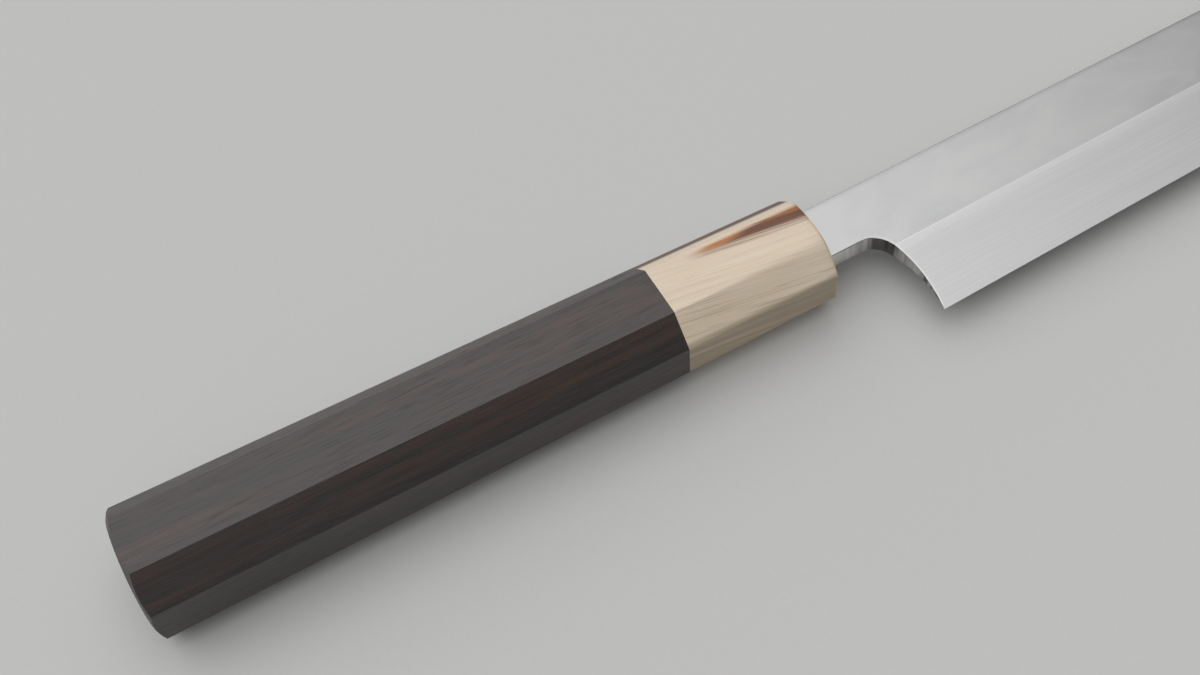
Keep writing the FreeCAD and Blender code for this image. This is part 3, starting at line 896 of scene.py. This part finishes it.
lead(ebony, mixed(ebony, pores, colour, EBONY_BLACK, share=PORE_SHARE), "Base Color")
dullness = ramp(ebony, grain, [(0.3, 0.37), (0.7, 0.45)])
lead(ebony, sum_of(ebony, dullness, pores, PORE_DULLNESS), "Roughness")
bump(ebony, sum_of(ebony, grain, pores, -PORE_DEPTH), strength=0.2, depth=0.05 * MM)
handle.data.materials.append(ebony)
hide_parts("handle")
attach(handle, "root")

# Floor, light and camera
# A plain pale table top in a dim room with a wide skylight above and behind, which the polished surfaces
# reflect, and a soft lamp overhead for the rest. The camera sees the knife as the photograph does.
CAMERA_PLACE = (-0.18512, -0.14556, 0.25814)
CAMERA_TURN = (33.434, 4.236, -28.261)
CAMERA_LENS = 44.26
SENSOR_WIDTH = 36
CLIP_START = 0.01
FLOOR_SIZE = 60
FLOOR_COLOUR = (0.53, 0.53, 0.525)
FLOOR_FLECKS = (0.54, 0.54, 0.535)
FLECKS_PER_METRE = 900
SKYLIGHT_FROM = Vector((-0.3, 0.3, 0.9)).normalized()
ROOM_LEVEL = 0.16
SKYLIGHT_LEVEL = 1.22
SKYLIGHT_SPREAD = (0.25, 0.85)
LAMP_FROM = Vector((-0.3, 0, 0.95)).normalized()
LAMP_DISTANCE = 1.8
LAMP_SIZE = 2.4
LAMP_POWER = 7.2
bpy.ops.object.select_all(action="DESELECT")
bpy.ops.mesh.primitive_plane_add(size=FLOOR_SIZE)
floor = bpy.context.object
floor.name = "table_top"
table = new_finish("table_pale", {"Roughness": 0.7, "Specular IOR Level": 0.2})
place = add_node(table, "TexCoord", {}).outputs["Object"]
flecks = noise(table, place, scale=[FLECKS_PER_METRE] * 3, detail=2.0)
lead(table, ramp(table, flecks, [(0.3, FLOOR_COLOUR), (0.7, FLOOR_FLECKS)]), "Base Color")
floor.data.materials.append(table)

world = bpy.data.worlds.new("soft_room")
world.use_nodes = True
sky = world.node_tree
direction = add_node(world, "TexCoord", {}).outputs["Generated"]
facing = add_node(world, "VectorMath", {0: direction, 1: SKYLIGHT_FROM}, operation="DOT_PRODUCT")
level = add_node(world, "MapRange", {
    "Value": facing.outputs["Value"], "From Min": SKYLIGHT_SPREAD[0], "From Max": SKYLIGHT_SPREAD[1],
    "To Min": ROOM_LEVEL, "To Max": SKYLIGHT_LEVEL}, interpolation_type="SMOOTHSTEP")
sky.links.new(level.outputs["Result"], sky.nodes["Background"].inputs["Strength"])
sky.nodes["Background"].inputs["Color"].default_value = (1, 1, 1, 1)
bpy.context.scene.world = world

bpy.ops.object.light_add(type="AREA", location=LAMP_FROM * LAMP_DISTANCE,
                         rotation=LAMP_FROM.to_track_quat("Z", "Y").to_euler())
lamp = bpy.context.object
lamp.name = "softbox"
lamp.data.size = LAMP_SIZE
lamp.data.energy = LAMP_POWER
lamp.visible_glossy = False

bpy.ops.object.camera_add(location=CAMERA_PLACE, rotation=[math.radians(turn) for turn in CAMERA_TURN])
camera = bpy.context.object
camera.data.sensor_width = SENSOR_WIDTH
camera.data.lens = CAMERA_LENS
camera.data.clip_start = CLIP_START
bpy.context.scene.camera = camera
bpy.context.scene.view_settings.view_transform = "Standard"
